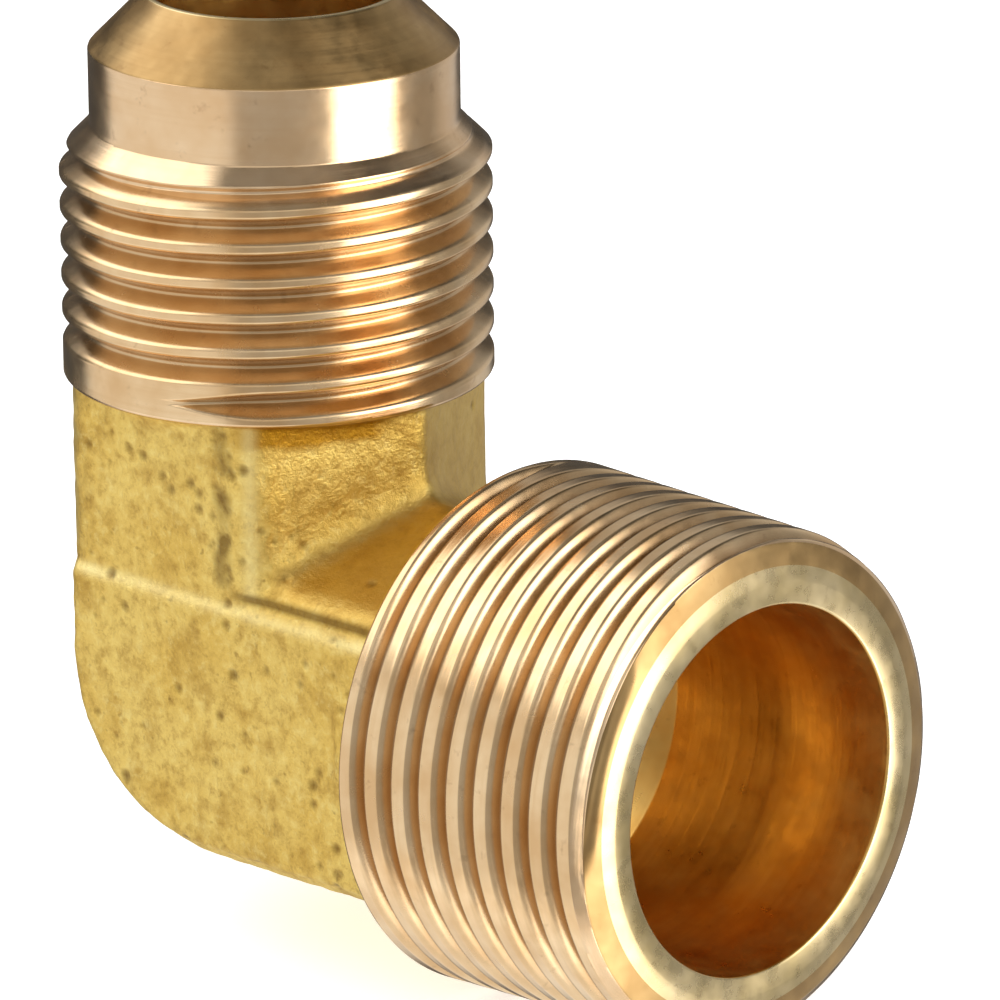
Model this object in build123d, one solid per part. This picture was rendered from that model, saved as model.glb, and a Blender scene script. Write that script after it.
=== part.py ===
from build123d import *
import os
from math import atan, ceil, degrees, radians, tan

# 90 degree elbow forged in brass: a 5/8 in SAE 45 degree male flare end stands along +Z,
# a 3/4 in NPT male pipe end lies along +X. The origin is where the two bore axes cross.
# The forging's parting line lies in the plane Y = 0. All sizes are in millimetres.

# Threads: both ends are cut at 14 turns per inch, with 60 degree flanks.
PITCH = 25.4 / 14
FLANK_SLOPE = tan(radians(30))
CREST_FLAT = 0.2
TOP_OVERCUT = 0.08

# Flare end, from the forging up to the seat
COLLAR_BOTTOM_Z = 15.2
COLLAR_BEVEL = 0.2
FLARE_THREAD_RADIUS = 11.05
FLARE_THREAD_DEPTH = 1.12
FLARE_RUNOUT_Z = 16.2
FLARE_RUNOUT_ANGLE = -91
FLARE_CHAMFER_Z = 26.9
NOSE_RADIUS = 9.46
CONE_BASE_Z = 32.36
SEAT_LIP_RADIUS = 6.5
FLARE_BORE_RADIUS = 6.2

# Pipe end, from the forging out to the mouth
PIPE_SHOULDER_X = 17.0
PIPE_SHOULDER_BEVEL = 0.35
PIPE_MOUTH_X = 33.4
PIPE_MAJOR_RADIUS_AT_MOUTH = 13.0
PIPE_TAPER = 1 / 32
PIPE_THREAD_DEPTH = 1.33
PIPE_RUNOUT_X = 17.91
PIPE_RUNOUT_ANGLE = 60
MOUTH_FACE_RADIUS = 10.6
MOUTH_BEVEL_RADIUS = 11.7
MOUTH_BEVEL_DEPTH = 0.35
MOUTH_CHAMFER_DEPTH = 1.05
PIPE_BORE_RADIUS = 9.45
PIPE_BORE_BOTTOM_X = 19.0

# Waterway round the corner, left by two drills with 118 degree points
PASSAGE_RADIUS = 6.4
FLARE_DRILL_BOTTOM_Z = -4.0
PASSAGE_DRILL_END_X = -3.0
DRILL_POINT_SLOPE = 1 / tan(radians(59))

# Forging: an L of drafted sides that ends in flat wrench faces
LEG_HALF_WIDTH = 10.3
HEEL_DEPTH = 11.8
HEEL_RADIUS = 13.0
FLAT_Y = 8.9
DRAFT_ANGLE = 23.12
PAD_Y = 9.25
PAD_TOP_Z = 5.7
FLAT_EDGE_FILLET = 0.9
PAD_EDGE_FILLET = 0.3
FLARE_SKIRT = 2.0
PIPE_SKIRT = 3.9
TRIM_MARGIN = 6

PIPE_PLANE = Plane(origin=(0, 0, 0), x_dir=(0, 1, 0), z_dir=(1, 0, 0))


def spun(points):
    """Solid of revolution about +Z from (radius, height) points."""
    corners = [(radius, 0, height) for radius, height in points]
    return revolve(make_face(Polyline(*corners, close=True)), Axis.Z)


def skirt(radius, top, size):
    """Concave fillet that spreads the forging out to a machined collar."""
    inner = radius - size
    low = top - size
    reach = size / 2**0.5
    arc_middle = (radius - reach, 0, low + reach)
    sides = Polyline((inner, 0, low), (0, 0, low), (0, 0, top), (radius, 0, top))
    curve = ThreePointArc((radius, 0, top), arc_middle, (inner, 0, low))
    return revolve(make_face([*sides.edges(), curve]), Axis.Z)


def side_view(inset, vertical_leg):
    """Side view of the forging in the plane XZ, drawn in by the inset."""
    left = -(LEG_HALF_WIDTH - inset)
    right = LEG_HALF_WIDTH - inset
    heel = -(HEEL_DEPTH - inset)
    leg_top = COLLAR_BOTTOM_Z + TRIM_MARGIN
    pipe_end = PIPE_SHOULDER_X + TRIM_MARGIN
    if vertical_leg:
        corners = [(left, leg_top), (left, heel), (pipe_end, heel), (pipe_end, right)]
        corners += [(right, right), (right, leg_top)]
    else:
        corners = [(left, PAD_TOP_Z), (left, heel), (pipe_end, heel), (pipe_end, PAD_TOP_Z)]
    face = make_face(Plane.XZ * Polyline(*corners, close=True))
    heel_corner = face.vertices().sort_by(Axis.X)[:2].sort_by(Axis.Z)[0]
    return fillet(heel_corner, HEEL_RADIUS - inset)


def forged_legs():
    """Both legs and the heel: drafted from the parting line to the wrench flats."""
    half = extrude(side_view(0, True), FLAT_Y, taper=DRAFT_ANGLE)
    flat = half.faces().sort_by(Axis.Y)[0]
    half = fillet(flat.edges(), FLAT_EDGE_FILLET)
    return half + mirror(half, Plane.XZ)


def wrench_pads():
    """Plate through the heel and the pipe leg, standing a little proud of the flats."""
    half = extrude(side_view(PAD_Y * tan(radians(DRAFT_ANGLE)), False), PAD_Y)
    face = half.faces().sort_by(Axis.Y)[0]
    half = fillet(face.edges(), PAD_EDGE_FILLET)
    return half + mirror(half, Plane.XZ)


def forging():
    """The forged body, cut square where the machined ends begin."""
    body = forged_legs() + wrench_pads()
    size = 4 * HEEL_DEPTH
    above = Pos(0, 0, COLLAR_BOTTOM_Z + size / 2) * Box(size, size, size)
    beyond = Pos(PIPE_SHOULDER_X + size / 2, 0, 0) * Box(size, size, size)
    collar_radius = FLARE_THREAD_RADIUS - COLLAR_BEVEL
    shoulder_radius = PIPE_MAJOR_RADIUS_AT_MOUTH + PIPE_SHOULDER_BEVEL / 2
    flare_side = skirt(collar_radius, COLLAR_BOTTOM_Z, FLARE_SKIRT)
    pipe_side = PIPE_PLANE.location * skirt(shoulder_radius, PIPE_SHOULDER_X, PIPE_SKIRT)
    return (body - above - beyond) + flare_side + pipe_side


def pipe_major_radius(x):
    """Crest radius of the tapered pipe thread at a place along +X."""
    return PIPE_MAJOR_RADIUS_AT_MOUTH + (PIPE_MOUTH_X - x) * PIPE_TAPER


def flare_blank():
    """Turned flare end before threading: collar, thread land, nose and 45 degree seat."""
    seat_z = CONE_BASE_Z + NOSE_RADIUS - SEAT_LIP_RADIUS
    nose_z = FLARE_CHAMFER_Z + FLARE_THREAD_RADIUS - NOSE_RADIUS
    return spun([
        (0, 0),
        (FLARE_THREAD_RADIUS - COLLAR_BEVEL - FLARE_SKIRT, 0),
        (FLARE_THREAD_RADIUS - COLLAR_BEVEL - FLARE_SKIRT, COLLAR_BOTTOM_Z),
        (FLARE_THREAD_RADIUS - COLLAR_BEVEL, COLLAR_BOTTOM_Z),
        (FLARE_THREAD_RADIUS, COLLAR_BOTTOM_Z + COLLAR_BEVEL),
        (FLARE_THREAD_RADIUS, FLARE_CHAMFER_Z),
        (NOSE_RADIUS, nose_z),
        (NOSE_RADIUS, CONE_BASE_Z),
        (SEAT_LIP_RADIUS, seat_z),
        (0, seat_z),
    ])


def pipe_blank():
    """Turned pipe end before threading, with its shoulder bevel and mouth chamfers."""
    shoulder = PIPE_SHOULDER_X
    bevel_end = shoulder + PIPE_SHOULDER_BEVEL
    chamfer_start = PIPE_MOUTH_X - MOUTH_CHAMFER_DEPTH
    core_radius = PIPE_MAJOR_RADIUS_AT_MOUTH + PIPE_SHOULDER_BEVEL / 2 - PIPE_SKIRT
    blank = spun([
        (0, 0),
        (core_radius, 0),
        (core_radius, shoulder),
        (PIPE_MAJOR_RADIUS_AT_MOUTH + PIPE_SHOULDER_BEVEL / 2, shoulder),
        (pipe_major_radius(bevel_end), bevel_end),
        (pipe_major_radius(chamfer_start), chamfer_start),
        (MOUTH_BEVEL_RADIUS, PIPE_MOUTH_X - MOUTH_BEVEL_DEPTH),
        (MOUTH_FACE_RADIUS, PIPE_MOUTH_X),
        (0, PIPE_MOUTH_X),
    ])
    return PIPE_PLANE.location * blank


def groove_turn(major_radius, depth, taper):
    """One turn of a helical V groove about +Z, as the solid that a cut takes away.

    The major radius is the crest radius at its start, which shrinks by the taper.
    """
    top_half_width = (PITCH - CREST_FLAT) / 2
    root = (major_radius - depth, top_half_width - depth * FLANK_SLOPE)
    top = (major_radius + TOP_OVERCUT, top_half_width + TOP_OVERCUT * FLANK_SLOPE)
    corners = [(root, -1), (top, -1), (top, 1), (root, 1)]
    edges = []
    for (radius, half_width), side in corners:
        centre = (0, 0, side * half_width)
        edges.append(Edge.make_helix(PITCH, PITCH, radius, centre, angle=-degrees(atan(taper))))
    sides = [Face.make_surface_from_curves(edges[i], edges[(i + 1) % 4]) for i in range(4)]
    ends = [Face(Wire.make_polygon([edge @ t for edge in edges], close=True)) for t in (0, 1)]
    return Solid(Shell(sides + ends))


def groove(major_radius, depth, taper, start, angle, end):
    """Turns of a thread groove from its abrupt start at a height and angle to past the end."""
    turns = ceil((end - start) / PITCH) + 1
    for turn in range(turns):
        height = turn * PITCH
        radius = major_radius - height * taper
        yield Pos(0, 0, start + height) * Rot(0, 0, angle) * groove_turn(radius, depth, taper)


def flare_thread():
    """Groove of the 7/8-14 UNF straight thread, turn by turn."""
    return groove(FLARE_THREAD_RADIUS, FLARE_THREAD_DEPTH, 0, FLARE_RUNOUT_Z, FLARE_RUNOUT_ANGLE,
                  FLARE_CHAMFER_Z + FLARE_THREAD_DEPTH)


def pipe_thread():
    """Groove of the 3/4-14 NPT tapered thread, turn by turn."""
    turns = groove(pipe_major_radius(PIPE_RUNOUT_X), PIPE_THREAD_DEPTH, PIPE_TAPER, PIPE_RUNOUT_X,
                   PIPE_RUNOUT_ANGLE, PIPE_MOUTH_X)
    return [PIPE_PLANE.location * turn for turn in turns]


def drilled(radius, bottom, top):
    """Drilled hole about +Z with its pointed end below the bottom."""
    return spun([(0, bottom - radius * DRILL_POINT_SLOPE), (radius, bottom), (radius, top), (0, top)])


def waterway():
    """Flare bore down +Z, wide pipe bore and narrow cross drilling along +X."""
    flare_bore = drilled(FLARE_BORE_RADIUS, FLARE_DRILL_BOTTOM_Z, 2 * PIPE_MOUTH_X)
    pipe_bore = drilled(PIPE_BORE_RADIUS, PIPE_BORE_BOTTOM_X, 2 * PIPE_MOUTH_X)
    passage = drilled(PASSAGE_RADIUS, PASSAGE_DRILL_END_X, PIPE_MOUTH_X)
    return flare_bore, PIPE_PLANE.location * pipe_bore, PIPE_PLANE.location * passage


def elbow_body():
    """The whole fitting: one forging, turned, threaded and drilled."""
    body = forging() + flare_blank() + pipe_blank()
    for cut in [*waterway(), *flare_thread(), *pipe_thread()]:
        body -= cut
    return body


def main():
    os.makedirs("parts", exist_ok=True)
    body = elbow_body()
    export_step(body.solids()[0], "parts/elbow_body.step")
    box = body.bounding_box()
    print(len(body.solids()), "solid", round(body.volume, 1), "mm3", box.min, box.max)


main()
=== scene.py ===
import math
import bpy
import numpy as np
from mathutils import Matrix, Vector


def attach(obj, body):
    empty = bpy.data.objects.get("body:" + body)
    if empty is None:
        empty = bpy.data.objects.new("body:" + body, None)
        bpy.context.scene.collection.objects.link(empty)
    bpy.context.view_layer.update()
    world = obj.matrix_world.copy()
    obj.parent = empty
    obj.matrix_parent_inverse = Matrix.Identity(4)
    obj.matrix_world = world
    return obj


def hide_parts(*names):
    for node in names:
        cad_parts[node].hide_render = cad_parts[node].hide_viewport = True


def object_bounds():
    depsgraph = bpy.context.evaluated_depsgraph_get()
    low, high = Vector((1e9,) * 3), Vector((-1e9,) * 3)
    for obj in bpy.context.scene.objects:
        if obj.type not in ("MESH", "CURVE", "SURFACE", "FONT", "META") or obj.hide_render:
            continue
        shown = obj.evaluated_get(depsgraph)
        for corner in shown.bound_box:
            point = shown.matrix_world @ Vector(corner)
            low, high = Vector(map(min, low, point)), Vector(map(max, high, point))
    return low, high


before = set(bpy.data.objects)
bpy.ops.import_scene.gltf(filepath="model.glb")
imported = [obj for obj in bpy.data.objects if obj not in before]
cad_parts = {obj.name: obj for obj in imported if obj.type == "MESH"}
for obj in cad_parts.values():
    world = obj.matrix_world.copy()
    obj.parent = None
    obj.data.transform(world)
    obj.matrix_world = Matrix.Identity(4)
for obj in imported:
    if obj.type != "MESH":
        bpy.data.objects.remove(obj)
CAD_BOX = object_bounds()

# All sizes below are in millimetres; meshes are made in metres.
MM = 0.001
FLOOR_Z = round(CAD_BOX[0][2] / MM, 2)
MOUTH_X = round(CAD_BOX[1][0] / MM, 2)
LIP_Z = round(CAD_BOX[1][2] / MM, 2)

# Forging: drafted legs, rounded heel, wrench flats with a pad, and where the turned ends begin
DRAFT = math.radians(23.12)
HALF_WIDTH, HEEL_Z, HEEL_RADIUS = 10.3, -11.8, 13.0
HEEL_X, HEEL_TOP_Z = HEEL_RADIUS - HALF_WIDTH, HEEL_RADIUS + HEEL_Z
FLAT_Y, PAD_Y, PAD_TOP_Z = 8.9, 9.25, 5.7
CREASE_X, CREASE_Y, CREASE_Z, CREASE_RADIUS = 4.6, 9.12, 6.12, 0.45
COLLAR_Z, SHOULDER_X = 15.2, 17.0
OVERLAP = 0.3
PIT_DEPTH, PIT_COUNT = 0.14, 260

# Turned ends, threads and drillings
PITCH = 25.4 / 14
FLANK = math.tan(math.radians(30))
FLARE_R, NOSE_R, FLARE_BORE, FLARE_DRILL_Z = 11.05, 9.46, 6.2, -4.0
PIPE_R, PIPE_BORE, PASSAGE, PASSAGE_DRILL_X = 13.0, 9.45, 6.4, -3.0
DRILL_POINT = math.radians(59)

# Fineness of the meshes
VOXEL = 0.2
COLUMNS = 480


# ---------------------------------------------------------------- helpers
def smooth_min(a, b, k):
    """Union of two distances with a fillet about k wide."""
    h = np.clip(0.5 + 0.5 * (b - a) / k, 0, 1)
    return b + (a - b) * h - k * h * (1 - h)


def smooth_max(a, b, k):
    return -smooth_min(-a, -b, k)


def ramp(value, start, width):
    """0 below the start, 1 past the width."""
    return np.clip((value - start) / width, 0, 1)


def bell(value, centre, width):
    return np.exp(-((value - centre) / width) ** 2)


def noise(p, size, seed):
    """Smooth random values from -1 to 1 at points p, with features of that size."""
    n = 48
    lattice = np.random.default_rng(seed).uniform(-1, 1, (n, n, n))
    q = p / size + 1000.0
    i = np.floor(q).astype(int)
    f = q - i
    f = f * f * (3 - 2 * f)
    out = np.zeros(len(p))
    for dx in (0, 1):
        for dy in (0, 1):
            for dz in (0, 1):
                w = (f[:, 0] if dx else 1 - f[:, 0]) * (f[:, 1] if dy else 1 - f[:, 1])
                w = w * (f[:, 2] if dz else 1 - f[:, 2])
                out += w * lattice[(i[:, 0] + dx) % n, (i[:, 1] + dy) % n, (i[:, 2] + dz) % n]
    return out


def make_object(name, verts, faces, smooth=True):
    mesh = bpy.data.meshes.new(name)
    mesh.from_pydata((np.asarray(verts) * MM).tolist(), [], faces)
    mesh.polygons.foreach_set("use_smooth", np.full(len(mesh.polygons), smooth))
    mesh.update()
    piece = bpy.data.objects.new(name, mesh)
    bpy.context.scene.collection.objects.link(piece)
    return piece


def paint(piece, name, values):
    """A value at each vertex, which the materials read by name."""
    layer = piece.data.attributes.new(name, "FLOAT", "POINT")
    layer.data.foreach_set("value", np.asarray(values).astype(np.float32))


# ---------------------------------------------------------------- forged body
def heel_outline(x, z):
    """Distance outside the left, bottom and rounded heel of the side view."""
    corner = np.hypot(x - HEEL_X, z - HEEL_TOP_Z) - HEEL_RADIUS
    straight = np.maximum(-HALF_WIDTH - x, HEEL_Z - z)
    return np.where((x < HEEL_X) & (z < HEEL_TOP_Z), corner, straight)


def skirt(across, along, radius, top, size):
    """Concave fillet that spreads the forging out to a turned end."""
    low = top - size
    hollow = size - np.hypot(across - radius, along - low)
    return np.maximum.reduce([hollow, across - radius, low - along])


def forged_skin(x, y, z):
    """Drafted legs with rounded flats, a pad with a crease over it, and a skirt to each end."""
    side = np.sqrt(y * y + 0.25) - 0.25
    outline = np.maximum(heel_outline(x, z), smooth_min(x - HALF_WIDTH, z - HALF_WIDTH, 2.2))
    drafted = (outline + side * math.tan(DRAFT)) * math.cos(DRAFT)
    legs = smooth_max(drafted, np.abs(y) - FLAT_Y, 1.5)
    inset = PAD_Y * math.tan(DRAFT)
    pad = smooth_max(heel_outline(x, z) + inset, np.abs(y) - PAD_Y, 0.8)
    slope = (z - PAD_TOP_Z) * 0.71 + (np.abs(y) - PAD_Y + 0.42) * 0.71
    pad = np.maximum(smooth_max(pad, slope, 0.35), z - PAD_TOP_Z)
    skin = smooth_min(legs, pad, 0.10)
    crease = np.hypot(np.abs(y) - CREASE_Y, z - CREASE_Z) - CREASE_RADIUS * ramp(x, CREASE_X, 3)
    skin = smooth_max(skin, -crease, 0.12)
    flare_skirt = skirt(np.hypot(x, y), z, FLARE_R - 0.2, COLLAR_Z, 2.0)
    pipe_skirt = skirt(np.hypot(y, z), x, PIPE_R + 0.175, SHOULDER_X, 3.9)
    return smooth_min(smooth_min(skin, flare_skirt, 0.2), pipe_skirt, 0.5)


def machined_cuts(x, y, z):
    """Positive where turning and drilling took metal away; the forging ends inside the turned ends."""

    def drilled(across, beyond):
        point = beyond * math.sin(DRILL_POINT) + across * math.cos(DRILL_POINT)
        return np.maximum(across, point)

    from_flare_axis, from_pipe_axis = np.hypot(x, y), np.hypot(y, z)
    flare = drilled(from_flare_axis - FLARE_BORE, FLARE_DRILL_Z - z)
    cross = drilled(from_pipe_axis - PASSAGE, PASSAGE_DRILL_X - x)
    collar = z - COLLAR_Z - OVERLAP * np.clip(from_flare_axis - 7, 0, 1)
    shoulder = x - SHOULDER_X - OVERLAP * np.clip(from_pipe_axis - 7, 0, 1)
    return np.maximum.reduce([collar, shoulder, -flare, -cross])


def body_distance(p):
    x, y, z = p[..., 0], p[..., 1], p[..., 2]
    return np.maximum(forged_skin(x, y, z), machined_cuts(x, y, z))


def surface_net(low, high, step):
    """Quads over the surface where body_distance is zero."""
    axes = [np.arange(a, b + step, step) for a, b in zip(low, high)]
    grid = np.stack(np.meshgrid(*axes, indexing="ij"), -1)
    f = body_distance(grid)
    inside = f < 0
    n = [len(a) - 1 for a in axes]
    count = np.zeros(n, int)
    for dx in (0, 1):
        for dy in (0, 1):
            for dz in (0, 1):
                count += inside[dx:n[0] + dx, dy:n[1] + dy, dz:n[2] + dz]
    cells = np.argwhere((count > 0) & (count < 8))
    index = np.full(n, -1)
    index[tuple(cells.T)] = np.arange(len(cells))
    corners = np.array([(a, b, c) for a in (0, 1) for b in (0, 1) for c in (0, 1)])
    values = np.stack([f[tuple((cells + c).T)] for c in corners], 1)
    total, hits = np.zeros((len(cells), 3)), np.zeros(len(cells))
    for a in range(8):
        for b in range(a + 1, 8):
            if np.abs(corners[a] - corners[b]).sum() != 1:
                continue
            fa, fb = values[:, a], values[:, b]
            crossed = (fa < 0) != (fb < 0)
            t = np.where(crossed, fa / np.where(crossed, fa - fb, 1), 0)
            spot = corners[a] + t[:, None] * (corners[b] - corners[a])
            total += spot * crossed[:, None]
            hits += crossed
    points = np.array(low) + (cells + total / hits[:, None]) * step
    quads = []
    for axis in range(3):
        u, v = (axis + 1) % 3, (axis + 2) % 3
        first = [slice(None)] * 3
        second = [slice(None)] * 3
        first[axis], second[axis] = slice(0, -1), slice(1, None)
        change = inside[tuple(first)] != inside[tuple(second)]
        edges = np.argwhere(change)
        edges = edges[(edges[:, u] > 0) & (edges[:, v] > 0) & (edges[:, u] < n[u]) & (edges[:, v] < n[v])]
        du, dv = np.eye(3, dtype=int)[u], np.eye(3, dtype=int)[v]
        around = [edges - du - dv, edges - dv, edges, edges - du]
        quad = np.stack([index[tuple(c.T)] for c in around], 1)
        outward = inside[tuple(edges.T)]
        quads.append(np.where(outward[:, None], quad, quad[:, ::-1]))
    return points, np.concatenate(quads)


def settled(points, rounds=3):
    """Points moved on to the surface along its slope."""
    h = 0.02
    for _ in range(rounds):
        f = body_distance(points)
        slope = np.stack([(body_distance(points + h * e) - body_distance(points - h * e)) / (2 * h)
                          for e in np.eye(3)], 1)
        size = np.maximum((slope ** 2).sum(1), 0.25)
        points = points - np.clip(f / size, -0.1, 0.1)[:, None] * slope
    return points


def pitted(points, weight):
    """Depth, from 0 to 1, of round pits scattered by weight."""
    rng = np.random.default_rng(7)
    pits = rng.choice(len(points), PIT_COUNT, replace=False, p=weight / weight.sum())
    hollow = np.zeros(len(points))
    for centre, radius in zip(points[pits], rng.uniform(0.2, 0.5, len(pits))):
        near = np.abs(points[:, 0] - centre[0]) < radius
        d2 = ((points[near] - centre) ** 2).sum(1) / radius ** 2
        hollow[near] = np.maximum(hollow[near], np.clip(1 - d2, 0, 1) ** 1.5 * radius / 0.55)
    return hollow


def dark_marks_and_crease_shade(points, strip):
    """Dark scale in a strip up the flat's edge, darker colour over the upper far left faces, and painted
    shade along the crease over the pad.
    """
    x, y, z = points.T
    marks = strip * np.clip(0.75 + 1.0 * noise(points, 0.8, 6), 0, 1.3)
    left = ramp(-x, 4.9, 1.2) * (np.abs(y) > 6) * ramp(z, 6.5, 2)
    marks = np.maximum(marks, 0.6 * left * np.clip(0.7 + noise(points, 1.5, 8), 0, 1))
    # painted shade along the crease over the pad
    crease = bell(z, 6.2, 0.25) * ramp(x, 4.8, 1.5) * (np.abs(y) > 8.3)
    return np.maximum(marks, 1.2 * crease)


def painted_edge_highlights(points):
    """Painted highlight along the upright corner of each flat and the rim of each pad."""
    x, y, z = points.T
    slant = (np.abs(x) + np.abs(y) * math.tan(DRAFT) - HALF_WIDTH) * math.cos(DRAFT)
    corner = bell(slant - (np.abs(y) - FLAT_Y), 0.10, 0.45) * (z > 6.3) * (np.abs(y) > 7.6)
    rim = bell(z, 5.45, 0.30) * (np.abs(y) > 8.7) * (0.75 + 0.4 * noise(points, 1.2, 9))
    return np.clip(np.maximum(0.45 * corner, rim), 0, 1)


def under_collar(points):
    """Shaded brass just below the flare collar, on the side towards the pipe."""
    x, y, z = points.T
    from_middle = np.abs(np.degrees(np.arctan2(y, x)) + 34)
    return ramp(z - 0.3 * noise(points, 2.0, 10), 13.7, 0.4) * ramp(-from_middle, -28, 10)


def forged_body():
    points, quads = surface_net((-10.9, -13.7, -12.4), (17.6, 13.7, 15.8), VOXEL)
    points = settled(points)
    piece = make_object("forged_body", points, quads.tolist())
    normals = np.zeros(len(points) * 3)
    piece.data.vertices.foreach_get("normal", normals)
    normals = normals.reshape(-1, 3)
    x, y, z = points.T
    cuts = machined_cuts(x, y, z)
    skin = ramp(-cuts, 0, 0.5)
    # Faces turned up where the legs meet, and faces turned to +X on the +Y side: smoother, with painted
    # shade darkening their colour
    rubbed_and_painted_shade = ramp(normals[:, 2], 0.45, 0.3) * (x > 5) * (z > 6)
    rubbed_and_painted_shade = np.maximum(rubbed_and_painted_shade, ramp(normals[:, 0], 0.3, 0.3) * ramp(y, 0, 0.6) * (z > 3))
    rough = 1 - 0.6 * rubbed_and_painted_shade
    strip = bell(x - 0.3 * noise(points, 2.5, 5), 4.7, 0.6) * (y < -8) * ramp(z, 6.2, 0.8)
    weight = skin * rough * (0.25 + (np.abs(y) > 8.6) + 16.0 * strip)
    weight *= np.clip(0.6 + noise(points, 3.0, 4), 0.1, 2)
    hollow = pitted(points, weight)
    grain = (0.030 * noise(points, 0.9, 2) + 0.025 * noise(points, 0.45, 3)) * rough
    lift = 0.05 * noise(points, 4.0, 1) + grain - PIT_DEPTH * hollow
    moved = points + normals * (skin * lift)[:, None]
    piece.data.vertices.foreach_set("co", (moved * MM).ravel())
    # pits and scale, darker colour on the far left faces, and painted shade along the crease
    paint(piece, "pits_scale_and_shade", np.maximum(hollow, 0.85 * dark_marks_and_crease_shade(points, strip)) * skin)
    # painted shade just below the flare collar, on the side towards the pipe
    paint(piece, "collar_shade", 0.9 * under_collar(points))
    # painted highlight along the corners of the flats and the rims of the pads
    paint(piece, "edge", painted_edge_highlights(points) * skin)
    paint(piece, "rubbed_and_painted_shade", rubbed_and_painted_shade)
    paint(piece, "machined", 1 - ramp(-cuts, 0, 0.12))
    piece.data.update()
    return piece


# ---------------------------------------------------------------- threaded ends
def groove_depth(thread, theta, height):
    """How far the thread groove goes in at an angle and height, with a worn crest and root."""
    depth = thread["depth"]
    turn = ((theta - math.radians(thread["angle"])) % (2 * math.pi)) / (2 * math.pi)
    offset = height - thread["start"] - PITCH * turn
    number = np.round(offset / PITCH)
    across = np.abs(offset - number * PITCH)
    half_top = (PITCH - thread["crest"]) / 2
    travelled = number + turn
    entry = np.clip(travelled / 0.12, 0, 1)
    cut = (half_top - across) / FLANK - (depth + 0.4) * (1 - entry * entry * (3 - 2 * entry))
    cut = smooth_min(smooth_max(cut, 0 * cut, 0.30), 0 * cut + depth, 0.25)
    return np.where(number >= -0.01, np.clip(cut - 0.04, 0, None), 0)


def threaded_end(name, profile, thread, axis):
    """Solid of revolution through (radius, height, material, is thread) points, with its helical groove.

    A point's material belongs to the surface that leads up to it.
    """
    theta = np.arange(COLUMNS + 1) * 2 * math.pi / COLUMNS + math.radians(thread["angle"])
    marks = [0.0, 0.06, 0.12, 0.20, 0.30, 0.39, 0.46, 0.52, 0.58, 0.64, 0.70, 0.77]
    marks = sorted(marks + [-m for m in marks[1:]] + [PITCH / 2])
    heights, radii, slots = [], [], []
    for k in range(len(profile)):
        r1, z1, material, threaded = profile[k]
        r0, z0 = profile[k - 1][:2]
        if threaded:
            first = math.floor((z0 - thread["start"]) / PITCH) - 2
            last = math.ceil((z1 - thread["start"]) / PITCH) + 1
            rows = [thread["start"] + (c + 0.5) * PITCH + m for c in range(first, last) for m in marks]
            for row in rows:
                h = np.clip(row + PITCH * (theta - theta[0]) / (2 * math.pi), z0, z1)
                r = r0 + (r1 - r0) * (h - z0) / (z1 - z0)
                crest = thread["radius"] - thread["taper"] * h
                cut = crest - groove_depth(thread, theta, h)
                heights.append(h)
                radii.append(np.minimum(r, cut))
                slots.append(material)
        else:
            crest = thread["radius"] - thread["taper"] * z1
            cut = crest - groove_depth(thread, theta, z1 + 0 * theta)
            meets = profile[(k + 1) % len(profile)][3] or threaded
            heights.append(z1 + 0 * theta)
            radii.append(np.minimum(r1, cut) if meets else r1 + 0 * theta)
            slots.append(material)
    h, r = np.array(heights).T, np.array(radii).T
    columns = np.arange(COLUMNS + 1) % COLUMNS
    key = np.stack([np.broadcast_to(columns[:, None], h.shape), np.round(h * 1e4), np.round(r * 1e4)], -1)
    key = key.reshape(-1, 3).astype(np.int64)
    _, first, index = np.unique(key, axis=0, return_index=True, return_inverse=True)
    angle = np.broadcast_to(theta[:, None], h.shape).ravel()[first]
    rr, hh = r.ravel()[first], h.ravel()[first]
    a, b = rr * np.cos(angle), rr * np.sin(angle)
    verts = np.stack([a, b, hh], 1) if axis == "z" else np.stack([hh, a, b], 1)
    index = index.reshape(h.shape)
    lower, upper = index, np.roll(index, -1, axis=1)
    faces, face_slots = [], []
    for j in range(len(slots)):
        corners = (lower[:-1, j], lower[1:, j], upper[1:, j], upper[:-1, j])
        for quad in np.stack(corners, 1).tolist():
            ring = [v for n, v in enumerate(quad) if v != quad[n - 1]]
            if len(ring) > 2:
                faces.append(ring)
                face_slots.append(slots[(j + 1) % len(slots)])
    piece = make_object(name, verts, faces)
    piece.data.polygons.foreach_set("material_index", face_slots)
    sunk = (thread["radius"] - thread["taper"] * hh - rr) / thread["depth"]
    paint(piece, "root", np.clip(sunk * 1.3, 0, 1))
    return piece


TURNED, CONE, BORE, FACE, THREAD = range(5)


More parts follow.
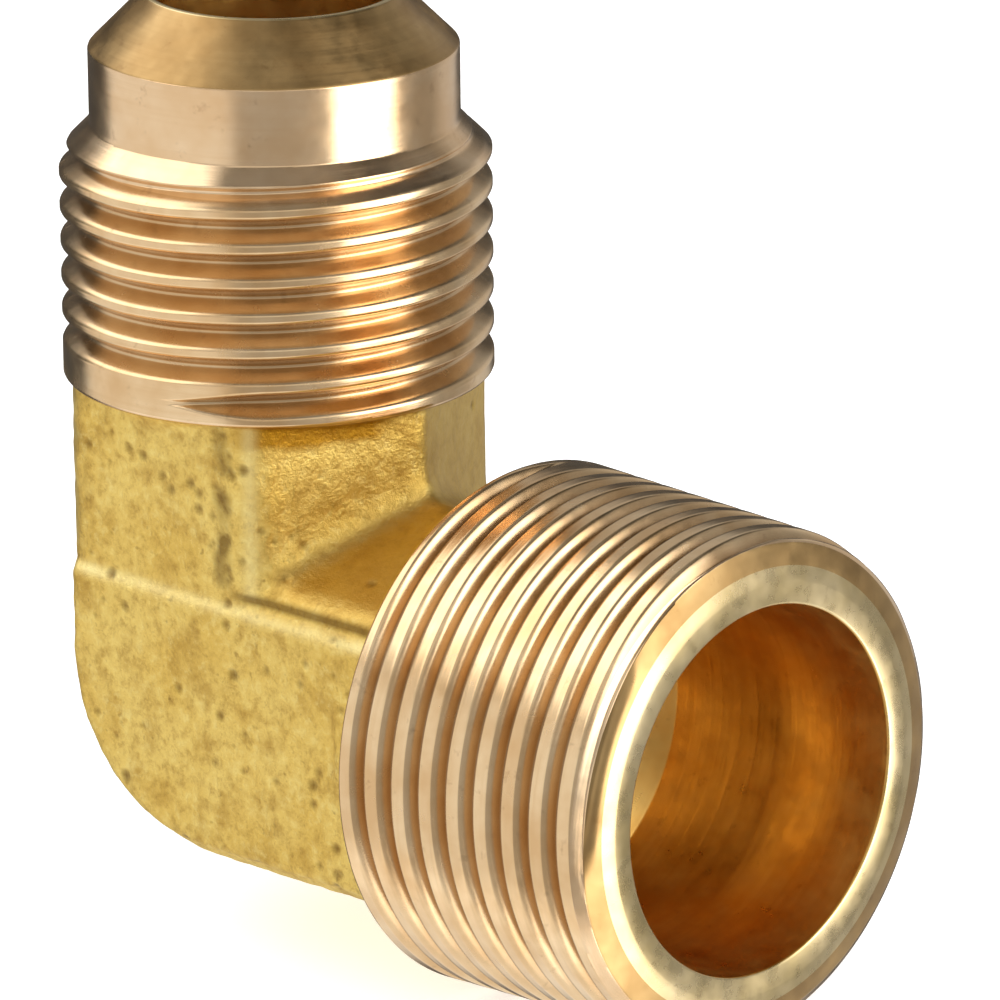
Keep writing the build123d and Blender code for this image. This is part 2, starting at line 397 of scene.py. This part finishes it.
def flare_end():
    thread = dict(start=16.2, angle=-91, depth=1.12, crest=0.40, radius=FLARE_R, taper=0.0)
    profile = [
        (FLARE_BORE, COLLAR_Z, BORE, False),
        (FLARE_R - 0.30, COLLAR_Z, TURNED, False),
        (FLARE_R - 0.18, COLLAR_Z + 0.03, TURNED, False),
        (FLARE_R - 0.03, COLLAR_Z + 0.18, TURNED, False),
        (FLARE_R, COLLAR_Z + 0.25, TURNED, False),
        (FLARE_R, 26.9, THREAD, True),
        (NOSE_R + 0.04, 28.45, TURNED, True),
        (NOSE_R, 28.53, TURNED, False),
        (NOSE_R, 28.75, TURNED, False),
        (NOSE_R, 32.10, TURNED, False),
        (NOSE_R, 32.30, TURNED, False),
        (NOSE_R - 0.03, 32.38, TURNED, False),
        (NOSE_R - 0.11, 32.47, CONE, False),
        (FLARE_BORE + 0.46, LIP_Z - 0.16, CONE, False),
        (FLARE_BORE + 0.38, LIP_Z - 0.08, CONE, False),
        (FLARE_BORE + 0.25, LIP_Z - 0.01, FACE, False),
        (FLARE_BORE + 0.12, LIP_Z - 0.02, FACE, False),
        (FLARE_BORE + 0.02, LIP_Z - 0.14, FACE, False),
        (FLARE_BORE, LIP_Z - 0.32, BORE, False),
        (FLARE_BORE, 30.0, BORE, False),
    ]
    return threaded_end("flare_end", profile, thread, "z")


def pipe_end():
    taper = 1 / 32
    at_origin = PIPE_R + MOUTH_X * taper
    thread = dict(start=17.91, angle=60, depth=1.1, crest=0.82, radius=at_origin, taper=taper)
    land_x, chamfer_x = 17.4, MOUTH_X - 0.85
    profile = [
        (PASSAGE, SHOULDER_X, BORE, False),
        (PIPE_R + 0.05, SHOULDER_X, TURNED, False),
        (PIPE_R + 0.19, SHOULDER_X + 0.03, TURNED, False),
        (PIPE_R + 0.46, SHOULDER_X + 0.30, TURNED, False),
        (at_origin - taper * land_x, land_x, TURNED, False),
        (at_origin - taper * chamfer_x, chamfer_x, THREAD, True),
        (12.50, MOUTH_X - 0.48, TURNED, True),
        (12.38, MOUTH_X - 0.43, CONE, False),
        (11.40, MOUTH_X - 0.18, CONE, False),
        (10.95, MOUTH_X - 0.07, FACE, False),
        (10.68, MOUTH_X - 0.01, FACE, False),
        (10.56, MOUTH_X, FACE, False),
        (PIPE_BORE + 0.17, MOUTH_X, FACE, False),
        (PIPE_BORE + 0.05, MOUTH_X - 0.04, FACE, False),
        (PIPE_BORE, MOUTH_X - 0.15, BORE, False),
        (PIPE_BORE, 26.0, BORE, False),
        (PIPE_BORE, 19.1, BORE, False),
        (PIPE_BORE - 0.07, 19.0, BORE, False),
        (PASSAGE + 0.1, SHOULDER_X + 0.25, BORE, False),
        (PASSAGE, SHOULDER_X + 0.15, BORE, False),
    ]
    return threaded_end("pipe_end", profile, thread, "x")


# ---------------------------------------------------------------- materials
class Nodes:
    """Short calls for building one material's node tree."""

    def __init__(self, name):
        self.material = bpy.data.materials.new(name)
        self.material.use_nodes = True
        self.tree = self.material.node_tree
        self.shader = self.tree.nodes["Principled BSDF"]
        self.place = self.add("ShaderNodeTexCoord").outputs["Object"]

    def add(self, kind, **settings):
        node = self.tree.nodes.new(kind)
        for key, value in settings.items():
            setattr(node, key, value)
        return node

    def feed(self, socket, value):
        if isinstance(value, bpy.types.NodeSocket):
            self.tree.links.new(value, socket)
        else:
            socket.default_value = value

    def noise(self, size, detail=4.0, roughness=0.55, stretch=(1, 1, 1)):
        scaled = self.add("ShaderNodeVectorMath", operation="MULTIPLY")
        self.feed(scaled.inputs[0], self.place)
        scaled.inputs[1].default_value = [s / (size * MM) for s in stretch]
        node = self.add("ShaderNodeTexNoise")
        self.feed(node.inputs["Vector"], scaled.outputs[0])
        node.inputs["Scale"].default_value = 1.0
        node.inputs["Detail"].default_value = detail
        node.inputs["Roughness"].default_value = roughness
        return node.outputs["Fac"]

    def span(self, value, low, high, to_low=0.0, to_high=1.0):
        node = self.add("ShaderNodeMapRange")
        keys = ("Value", "From Min", "From Max", "To Min", "To Max")
        for key, x in zip(keys, (value, low, high, to_low, to_high)):
            self.feed(node.inputs[key], x)
        return node.outputs["Result"]

    def mix(self, factor, a, b, blend="MIX"):
        node = self.add("ShaderNodeMix", data_type="RGBA", blend_type=blend)
        self.feed(node.inputs["Factor"], factor)
        self.feed(node.inputs[6], a)
        self.feed(node.inputs[7], b)
        return node.outputs[2]

    def math(self, operation, a, b=0.0):
        node = self.add("ShaderNodeMath", operation=operation)
        self.feed(node.inputs[0], a)
        self.feed(node.inputs[1], b)
        return node.outputs[0]

    def attribute(self, name):
        return self.add("ShaderNodeAttribute", attribute_name=name).outputs["Fac"]

    def bump(self, height, distance, strength=1.0, under=None):
        node = self.add("ShaderNodeBump")
        node.inputs["Strength"].default_value = strength
        node.inputs["Distance"].default_value = distance * MM
        self.feed(node.inputs["Height"], height)
        if under is not None:
            self.feed(node.inputs["Normal"], under)
        return node.outputs["Normal"]

    def finish(self, color, roughness, normal):
        self.shader.inputs["Metallic"].default_value = 1.0
        self.feed(self.shader.inputs["Base Color"], color)
        self.feed(self.shader.inputs["Roughness"], roughness)
        self.feed(self.shader.inputs["Normal"], normal)
        return self.material


def rgb(r, g, b):
    """Linear colour from sRGB values of 0 to 255."""
    return [*(((c / 255 + 0.055) / 1.055) ** 2.4 for c in (r, g, b)), 1.0]


def forged_brass():
    n = Nodes("forged_brass")
    rubbed_and_painted_shade = n.attribute("rubbed_and_painted_shade")
    broad = n.span(n.noise(5.0, 3.0), 0.38, 0.62)
    blotch = n.noise(1.7, 3.0, 0.6)
    grain = n.noise(0.75, 5.0, 0.72)
    fine = n.noise(0.24, 3.0, 0.7)
    color = n.mix(broad, rgb(238, 209, 120), rgb(228, 194, 102))
    color = n.mix(n.span(blotch, 0.50, 0.70, 0.0, 0.60), color, rgb(188, 148, 66))
    color = n.mix(n.span(grain, 0.50, 0.70, 0.0, 0.60), color, rgb(172, 132, 58))
    # painted highlight: pale glints speckled through the grain
    color = n.mix(n.span(grain, 0.47, 0.32, 0.0, 0.50), color, rgb(250, 230, 150))
    specks = n.span(n.noise(0.5, 2.0, 0.5), 0.66, 0.80, 0.0, 0.5)
    color = n.mix(specks, color, rgb(134, 98, 44))
    # painted shade: darker brown on the faces turned up where the legs meet
    color = n.mix(n.math("MULTIPLY", rubbed_and_painted_shade, 0.6), color, rgb(198, 162, 88))
    # painted shade: deep yellow brass just below the flare collar
    color = n.mix(n.attribute("collar_shade"), color, rgb(176, 126, 22))
    # painted highlight on the corners of the flats and the rims of the pads
    color = n.mix(n.math("MULTIPLY", n.attribute("edge"), 0.8), color, rgb(254, 240, 176))
    # pits and scale, darker far left faces, and painted shade along the crease over the pad
    color = n.mix(n.span(n.attribute("pits_scale_and_shade"), 0.1, 0.9, 0.0, 0.8), color, rgb(116, 84, 34))
    cut = n.attribute("machined")
    color = n.mix(cut, color, rgb(224, 180, 116))
    smooth = n.math("MAXIMUM", cut, n.math("MULTIPLY", rubbed_and_painted_shade, 0.55))
    coarse = n.bump(n.mix(smooth, grain, (0.5, 0.5, 0.5, 1)), 0.16, 0.9)
    normal = n.bump(n.mix(smooth, fine, (0.5, 0.5, 0.5, 1)), 0.06, 0.8, coarse)
    return n.finish(color, n.span(smooth, 0.0, 1.0, 0.50, 0.30), normal)


def turned_brass(name, axis, light, dark, roughness, line=0.35, marks=0.012, root_shade=0.0):
    """Brass from a lathe: fine rings round its axis, soft colour variation, stains and painted shade in the
    thread roots.
    """
    n = Nodes(name)
    along = (0.02, 0.02, 1) if axis == "z" else (1, 0.02, 0.02)
    rings = n.noise(line, 2.0, 0.6, along)
    broad = n.span(n.noise(3.5, 3.0), 0.35, 0.68)
    color = n.mix(broad, light, dark)
    color = n.mix(n.span(rings, 0.45, 0.7, 0.0, 0.35), color, dark)
    stains = n.span(n.noise(1.1, 4.0, 0.65), 0.62, 0.78, 0.0, 0.35)
    color = n.mix(stains, color, rgb(112, 70, 36))
    if root_shade:
        # painted shade in the thread roots, deeper where the groove is deeper
        color = n.mix(n.math("MULTIPLY", n.attribute("root"), root_shade), color, rgb(132, 90, 46))
    rough = n.span(n.noise(1.6, 4.0, 0.6), 0.3, 0.7, roughness * 0.8, roughness * 1.3)
    return n.finish(color, rough, n.bump(rings, marks, 1.0))


def end_materials(axis, root_shade):
    """One material for each of TURNED, CONE, BORE, FACE and THREAD, in that order."""
    turned = turned_brass("turned_brass_" + axis, axis, rgb(237, 208, 170), rgb(224, 188, 144), 0.20)
    # painted shade: the flare cone and the mouth chamfer take a darker copy of the turned brass
    cone = turned_brass("shaded_cone_brass_" + axis, axis, rgb(186, 154, 104), rgb(158, 126, 80), 0.34)
    # painted shade: the bores take a darker, more orange copy of the turned brass
    bore = turned_brass("shaded_bore_brass_" + axis, axis, rgb(220, 178, 100), rgb(196, 148, 74), 0.34, 0.5)
    face = turned_brass("face_brass_" + axis, axis, rgb(222, 202, 158), rgb(200, 178, 128), 0.28)
    thread = turned_brass("thread_brass_" + axis, axis, rgb(237, 208, 166), rgb(218, 181, 133), 0.22,
                          root_shade=root_shade)
    return turned, cone, bore, face, thread


# ---------------------------------------------------------------- studio
# The camera looks at AIM; angles are in degrees, the azimuth counted from +X.
AIM = Vector((14.09, 1.59, 10.66))
CAMERA_AZIMUTH, CAMERA_ELEVATION, CAMERA_ROLL = -46.07, 17.46, -0.57
CAMERA_DISTANCE = 480.0


def camera():
    data = bpy.data.cameras.new("camera")
    data.sensor_width, data.lens = 36.0, 341.9
    data.clip_start, data.clip_end = 0.01, 20
    cam = bpy.data.objects.new("camera", data)
    bpy.context.scene.collection.objects.link(cam)
    turn = Matrix.Rotation(math.radians(90 + CAMERA_AZIMUTH), 4, "Z")
    turn = turn @ Matrix.Rotation(math.radians(90 - CAMERA_ELEVATION), 4, "X")
    turn = turn @ Matrix.Rotation(math.radians(CAMERA_ROLL), 4, "Z")
    back = turn.to_3x3() @ Vector((0, 0, 1))
    cam.matrix_world = Matrix.Translation((AIM + back * CAMERA_DISTANCE) * MM) @ turn
    bpy.context.scene.camera = cam


def studio_world():
    """Soft boxes round the object, by direction: azimuth from +X and elevation, in degrees."""
    world = bpy.data.worlds.new("studio")
    bpy.context.scene.world = world
    world.use_nodes = True
    tree = world.node_tree
    tree.nodes.clear()

    def op(operation, *values):
        node = tree.nodes.new("ShaderNodeMath")
        node.operation = operation
        for socket, value in zip(node.inputs, values):
            if isinstance(value, bpy.types.NodeSocket):
                tree.links.new(value, socket)
            else:
                socket.default_value = value
        return node.outputs[0]

    where = tree.nodes.new("ShaderNodeTexCoord").outputs["Generated"]
    split = tree.nodes.new("ShaderNodeSeparateXYZ")
    tree.links.new(where, split.inputs[0])
    azimuth = op("MULTIPLY", op("ARCTAN2", split.outputs[1], split.outputs[0]), 180 / math.pi)
    elevation = op("MULTIPLY", op("ARCSINE", split.outputs[2]), 180 / math.pi)

    def window(value, centre, half, soft):
        away = op("ABSOLUTE", op("SUBTRACT", value, centre))
        node = tree.nodes.new("ShaderNodeMapRange")
        node.interpolation_type = "SMOOTHSTEP"
        tree.links.new(away, node.inputs["Value"])
        for key, x in zip(("From Min", "From Max", "To Min", "To Max"), (half - soft, half + soft, 1, 0)):
            node.inputs[key].default_value = x
        return node.outputs["Result"]

    def box(az, half_az, soft_az, el, half_el, soft_el, power):
        wrapped = op("WRAP", op("SUBTRACT", azimuth, az), 180.0, -180.0)
        lobe = op("MULTIPLY", window(wrapped, 0, half_az, soft_az), window(elevation, el, half_el, soft_el))
        return op("MULTIPLY", lobe, power)

    boxes = [
        box(13, 21, 3, 0, 45, 10, 4.2),       # bright strip to the right of the view
        box(-120, 49, 4, -10, 35, 8, 0.88),   # wide box on the left
        box(-40, 31, 3, -10, 40, 12, 0.40),   # dim room behind the camera
        box(-150, 44, 5, 47, 19, 4, 2.1),     # high box on the left, behind
        box(-40, 64, 8, 45, 16, 4, 0.70),     # high box over the camera
        box(55, 21, 6, 0, 45, 12, 0.26),      # dim room on the right
        box(92, 16, 8, -5, 35, 12, 0.55),     # reflector on the right
        box(150, 40, 14, 38, 16, 8, 0.45),    # light high behind
        box(0, 200, 10, 95, 28, 6, 0.22),     # ceiling
        box(0, 200, 10, -90, 48, 8, 0.95),    # pale ground near the object
    ]
    dim_everywhere = 0.07
    total = op("ADD", dim_everywhere, boxes[0])
    for lobe in boxes[1:]:
        total = op("ADD", total, lobe)
    background = tree.nodes.new("ShaderNodeBackground")
    background.inputs["Color"].default_value = (1.0, 0.985, 0.965, 1)
    tree.links.new(total, background.inputs["Strength"])
    output = tree.nodes.new("ShaderNodeOutputWorld")
    tree.links.new(background.outputs[0], output.inputs["Surface"])


def floor(height):
    """A pale floor, a little self-lit, that stays out of the reflections in the brass."""
    half = 6000.0
    corners = [(half * a, half * b, height) for a, b in ((-1, -1), (1, -1), (1, 1), (-1, 1))]
    ground = make_object("floor", corners, [[0, 1, 2, 3]], False)
    n = Nodes("pale_floor")
    n.shader.inputs["Base Color"].default_value = (0.93, 0.93, 0.93, 1)
    n.shader.inputs["Roughness"].default_value = 0.9
    n.shader.inputs["Emission Color"].default_value = (1, 1, 1, 1)
    n.shader.inputs["Emission Strength"].default_value = 0.6
    ground.data.materials.append(n.material)
    ground.visible_glossy = False
    ground.visible_shadow = False


def backdrop(height):
    """A white wall round the object and cameras, seen only directly: low views have no horizon."""
    radius, top, sides, sunk = 1600.0, 2000.0, 96, 10.0
    turn = np.arange(sides) * 2 * math.pi / sides
    x, y = radius * np.cos(turn), radius * np.sin(turn)
    verts = np.concatenate([np.stack([x, y, 0 * x + z], 1) for z in (height - sunk, top)])
    faces = [[k, (k + 1) % sides, (k + 1) % sides + sides, k + sides] for k in range(sides)]
    wall = make_object("backdrop", verts, faces, False)
    n = Nodes("white_backdrop")
    n.shader.inputs["Base Color"].default_value = (0, 0, 0, 1)
    n.shader.inputs["Specular IOR Level"].default_value = 0.0
    n.shader.inputs["Emission Color"].default_value = (1, 1, 1, 1)
    n.shader.inputs["Emission Strength"].default_value = 1.0
    wall.data.materials.append(n.material)
    wall.visible_diffuse = False
    wall.visible_glossy = False
    wall.visible_transmission = False
    wall.visible_shadow = False


# ---------------------------------------------------------------- build
body = forged_body()
body.data.materials.append(forged_brass())
flare = flare_end()
for material in end_materials("z", 0.28):
    flare.data.materials.append(material)
pipe = pipe_end()
for material in end_materials("x", 0.72):
    pipe.data.materials.append(material)
for piece in (body, flare, pipe):
    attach(piece, "root")
    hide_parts("elbow_body")

floor(FLOOR_Z)
backdrop(FLOOR_Z)
studio_world()
camera()
bpy.context.scene.view_settings.view_transform = "Standard"
